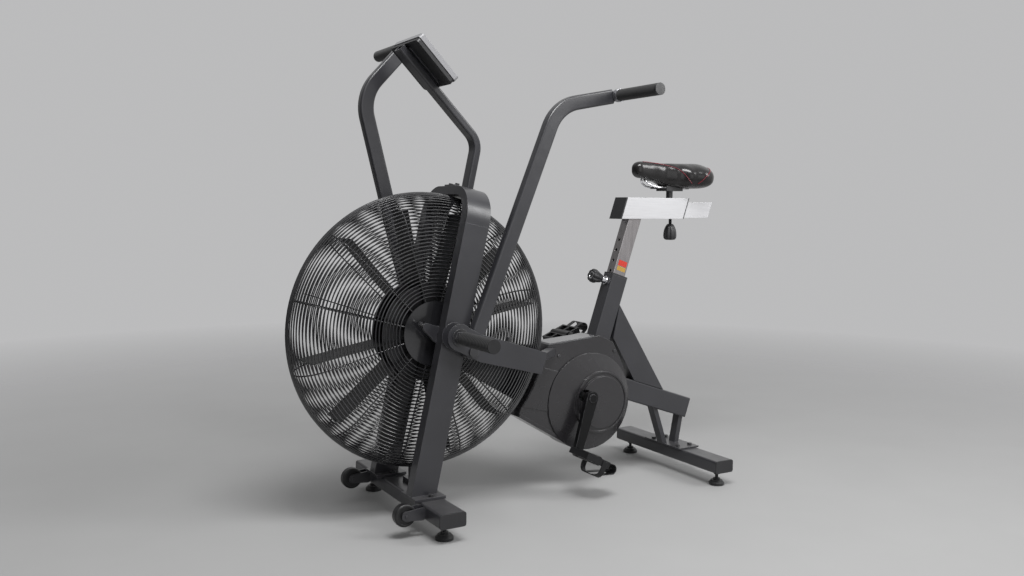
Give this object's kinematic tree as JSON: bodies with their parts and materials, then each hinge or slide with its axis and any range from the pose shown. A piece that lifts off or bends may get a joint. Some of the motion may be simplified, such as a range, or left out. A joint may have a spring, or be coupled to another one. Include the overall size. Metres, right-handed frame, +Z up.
{
  "type": "air bike",
  "caption": "Upright fan exercise bike with a large round wire cage, swinging handles, foot pegs, pedals with toe cages and an adjustable saddle.",
  "frame": {"origin": "on the floor, under the middle of the whole machine", "axes": "+X to the rear towards the saddle, +Y to the rider's right, +Z up"},
  "size_m": [1.46, 0.76, 1.369],
  "materials": {
    "coat": "satin powder coat, charcoal",
    "end_cap": "matte black plastic",
    "case": "satin charcoal plastic",
    "gloss_cover": "gloss black plastic",
    "cage_wire": "black coated wire",
    "black_metal": "black oxide and black paint",
    "steel": "zinc plated steel",
    "post_steel": "bright brushed steel",
    "chrome": "polished",
    "rail_silver": "light satin aluminium",
    "grip_metal": "satin aluminium",
    "console_black": "matte black plastic",
    "console_silver": "silver-grey plastic",
    "display": "dark display window",
    "button": "soft rubber keys",
    "rubber": "black rubber",
    "belt": "ribbed belt",
    "tyre": "black wheel",
    "crank_black": "black coated forging",
    "pedal_black": "black resin",
    "toe_plastic": "black flexible plastic",
    "fan_hub": "dark coated hub",
    "fan_blade": "dark sheet metal",
    "knob": "black plastic",
    "saddle_leather": "black leatherette with dark red piping"
  },
  "bodies": {
    "frame": {"front_stabiliser": "coat", "rear_stabiliser": "coat", "tube_end_caps": "end_cap", "fork_legs": "coat", "fork_crown": "coat", "side_arms": "coat", "foot_pegs": "black_metal", "peg_sleeves": "rubber", "frame_plates": "coat", "case_left": "case", "case_right": "case", "case_top_cover": "gloss_cover", "drum_covers": "case", "seat_tube": "coat", "tail_tube": "coat", "fan_cage_left": "cage_wire", "fan_cage_right": "cage_wire", "fan_axle": "black_metal", "belt_guard": "coat", "mast": "coat", "console_back": "console_black", "console_bezel": "console_silver", "console_display": "display", "frame_bolts": "black_metal", "post_bush": "end_cap", "pin_housing": "chrome", "belts": "belt", "shaft_bearings": "steel"},
    "crank": {"crank_axle": "steel", "crank_arms": "crank_black"},
    "pedal_l": {"pedal_left": "pedal_black", "toe_cage_left": "toe_plastic"},
    "pedal_r": {"pedal_right": "pedal_black", "toe_cage_right": "toe_plastic"},
    "jackshaft": {"jackshaft": "steel"},
    "fan": {"fan_hub": "fan_hub", "fan_blades": "fan_blade"},
    "handle_l": {"handle_left": "coat", "grip_left": "rubber", "grip_caps_left": "grip_metal"},
    "handle_r": {"handle_right": "coat", "grip_right": "rubber", "grip_caps_right": "grip_metal"},
    "seat": {"seat_post": "post_steel", "seat_rail": "rail_silver", "rail_cap": "end_cap"},
    "slider": {"seat_slider": "rail_silver", "saddle_clamp": "black_metal", "saddle": "saddle_leather"},
    "post_pin": {"post_pin": "knob"},
    "rail_knob": {"rail_knob": "knob"},
    "wheel_l": {"wheel_left": "tyre"},
    "wheel_r": {"wheel_right": "tyre"},
    "foot_fl": {"foot_front_left": "rubber"},
    "foot_fr": {"foot_front_right": "rubber"},
    "foot_rl": {"foot_rear_left": "rubber"},
    "foot_rr": {"foot_rear_right": "rubber"},
    "button_l": {"button_left": "button"},
    "button_m": {"button_middle": "button"},
    "button_r": {"button_right": "button"}
  },
  "joints": [
    {"name": "crank_spin", "type": "hinge", "parent": "frame", "child": "crank", "pos_m": [0.198, 0, 0.295], "axis": [0, 1, 0], "continuous": true},
    {"name": "jackshaft_spin", "type": "hinge", "parent": "frame", "child": "jackshaft", "pos_m": [0.058, 0, 0.33], "axis": [0, 1, 0], "continuous": true},
    {"name": "fan_spin", "type": "hinge", "parent": "frame", "child": "fan", "pos_m": [-0.336, 0, 0.528], "axis": [0, 1, 0], "continuous": true},
    {"name": "pedal_left_spin", "type": "hinge", "parent": "crank", "child": "pedal_l", "pos_m": [0.14771, -0.158, 0.13052], "axis": [0, 1, 0], "continuous": true},
    {"name": "pedal_right_spin", "type": "hinge", "parent": "crank", "child": "pedal_r", "pos_m": [0.24829, 0.158, 0.45948], "axis": [0, 1, 0], "continuous": true},
    {"name": "handle_left_swing", "type": "hinge", "parent": "frame", "child": "handle_l", "pos_m": [-0.268, -0.17, 0.485], "axis": [0, 1, 0], "range_deg": [-36, 0]},
    {"name": "handle_right_swing", "type": "hinge", "parent": "frame", "child": "handle_r", "pos_m": [-0.268, 0.17, 0.485], "axis": [0, 1, 0], "range_deg": [0, 36]},
    {"name": "seat_height", "type": "slide", "parent": "frame", "child": "seat", "axis": [0.319, 0, 0.9478], "range_m": [-0.105, 0.07]},
    {"name": "seat_fore_aft", "type": "slide", "parent": "seat", "child": "slider", "axis": [1, 0, 0], "range_m": [-0.07, 0.03]},
    {"name": "post_pin_pull", "type": "slide", "parent": "frame", "child": "post_pin", "axis": [-0.9478, 0, 0.319], "range_m": [0, 0.01], "stiffness_N_per_m": 900},
    {"name": "rail_knob_turn", "type": "hinge", "parent": "seat", "child": "rail_knob", "pos_m": [0.572, 0, 0.815], "axis": [0, 0, 1], "range_deg": [-360, 0]},
    {"name": "wheel_left_spin", "type": "hinge", "parent": "frame", "child": "wheel_l", "pos_m": [-0.477, -0.195, 0.065], "axis": [0, 1, 0], "continuous": true},
    {"name": "wheel_right_spin", "type": "hinge", "parent": "frame", "child": "wheel_r", "pos_m": [-0.477, 0.195, 0.065], "axis": [0, 1, 0], "continuous": true},
    {"name": "foot_front_left_turn", "type": "hinge", "parent": "frame", "child": "foot_fl", "pos_m": [-0.384, -0.248, 0], "axis": [0, 0, 1], "continuous": true},
    {"name": "foot_front_right_turn", "type": "hinge", "parent": "frame", "child": "foot_fr", "pos_m": [-0.384, 0.248, 0], "axis": [0, 0, 1], "continuous": true},
    {"name": "foot_rear_left_turn", "type": "hinge", "parent": "frame", "child": "foot_rl", "pos_m": [0.6, -0.225, 0], "axis": [0, 0, 1], "continuous": true},
    {"name": "foot_rear_right_turn", "type": "hinge", "parent": "frame", "child": "foot_rr", "pos_m": [0.6, 0.225, 0], "axis": [0, 0, 1], "continuous": true},
    {"name": "button_left_press", "type": "slide", "parent": "frame", "child": "button_l", "axis": [-0.7133, 0, -0.7009], "range_m": [0, 0.0015], "stiffness_N_per_m": 600},
    {"name": "button_middle_press", "type": "slide", "parent": "frame", "child": "button_m", "axis": [-0.7133, 0, -0.7009], "range_m": [0, 0.0015], "stiffness_N_per_m": 600},
    {"name": "button_right_press", "type": "slide", "parent": "frame", "child": "button_r", "axis": [-0.7133, 0, -0.7009], "range_m": [0, 0.0015], "stiffness_N_per_m": 600}
  ],
  "couplings": [
    {"joint": "jackshaft_spin", "follows": "crank_spin", "ratio": 4.1538},
    {"joint": "fan_spin", "follows": "crank_spin", "ratio": 9.5858},
    {"joint": "handle_right_swing", "follows": "handle_left_swing", "ratio": -1}
  ]
}
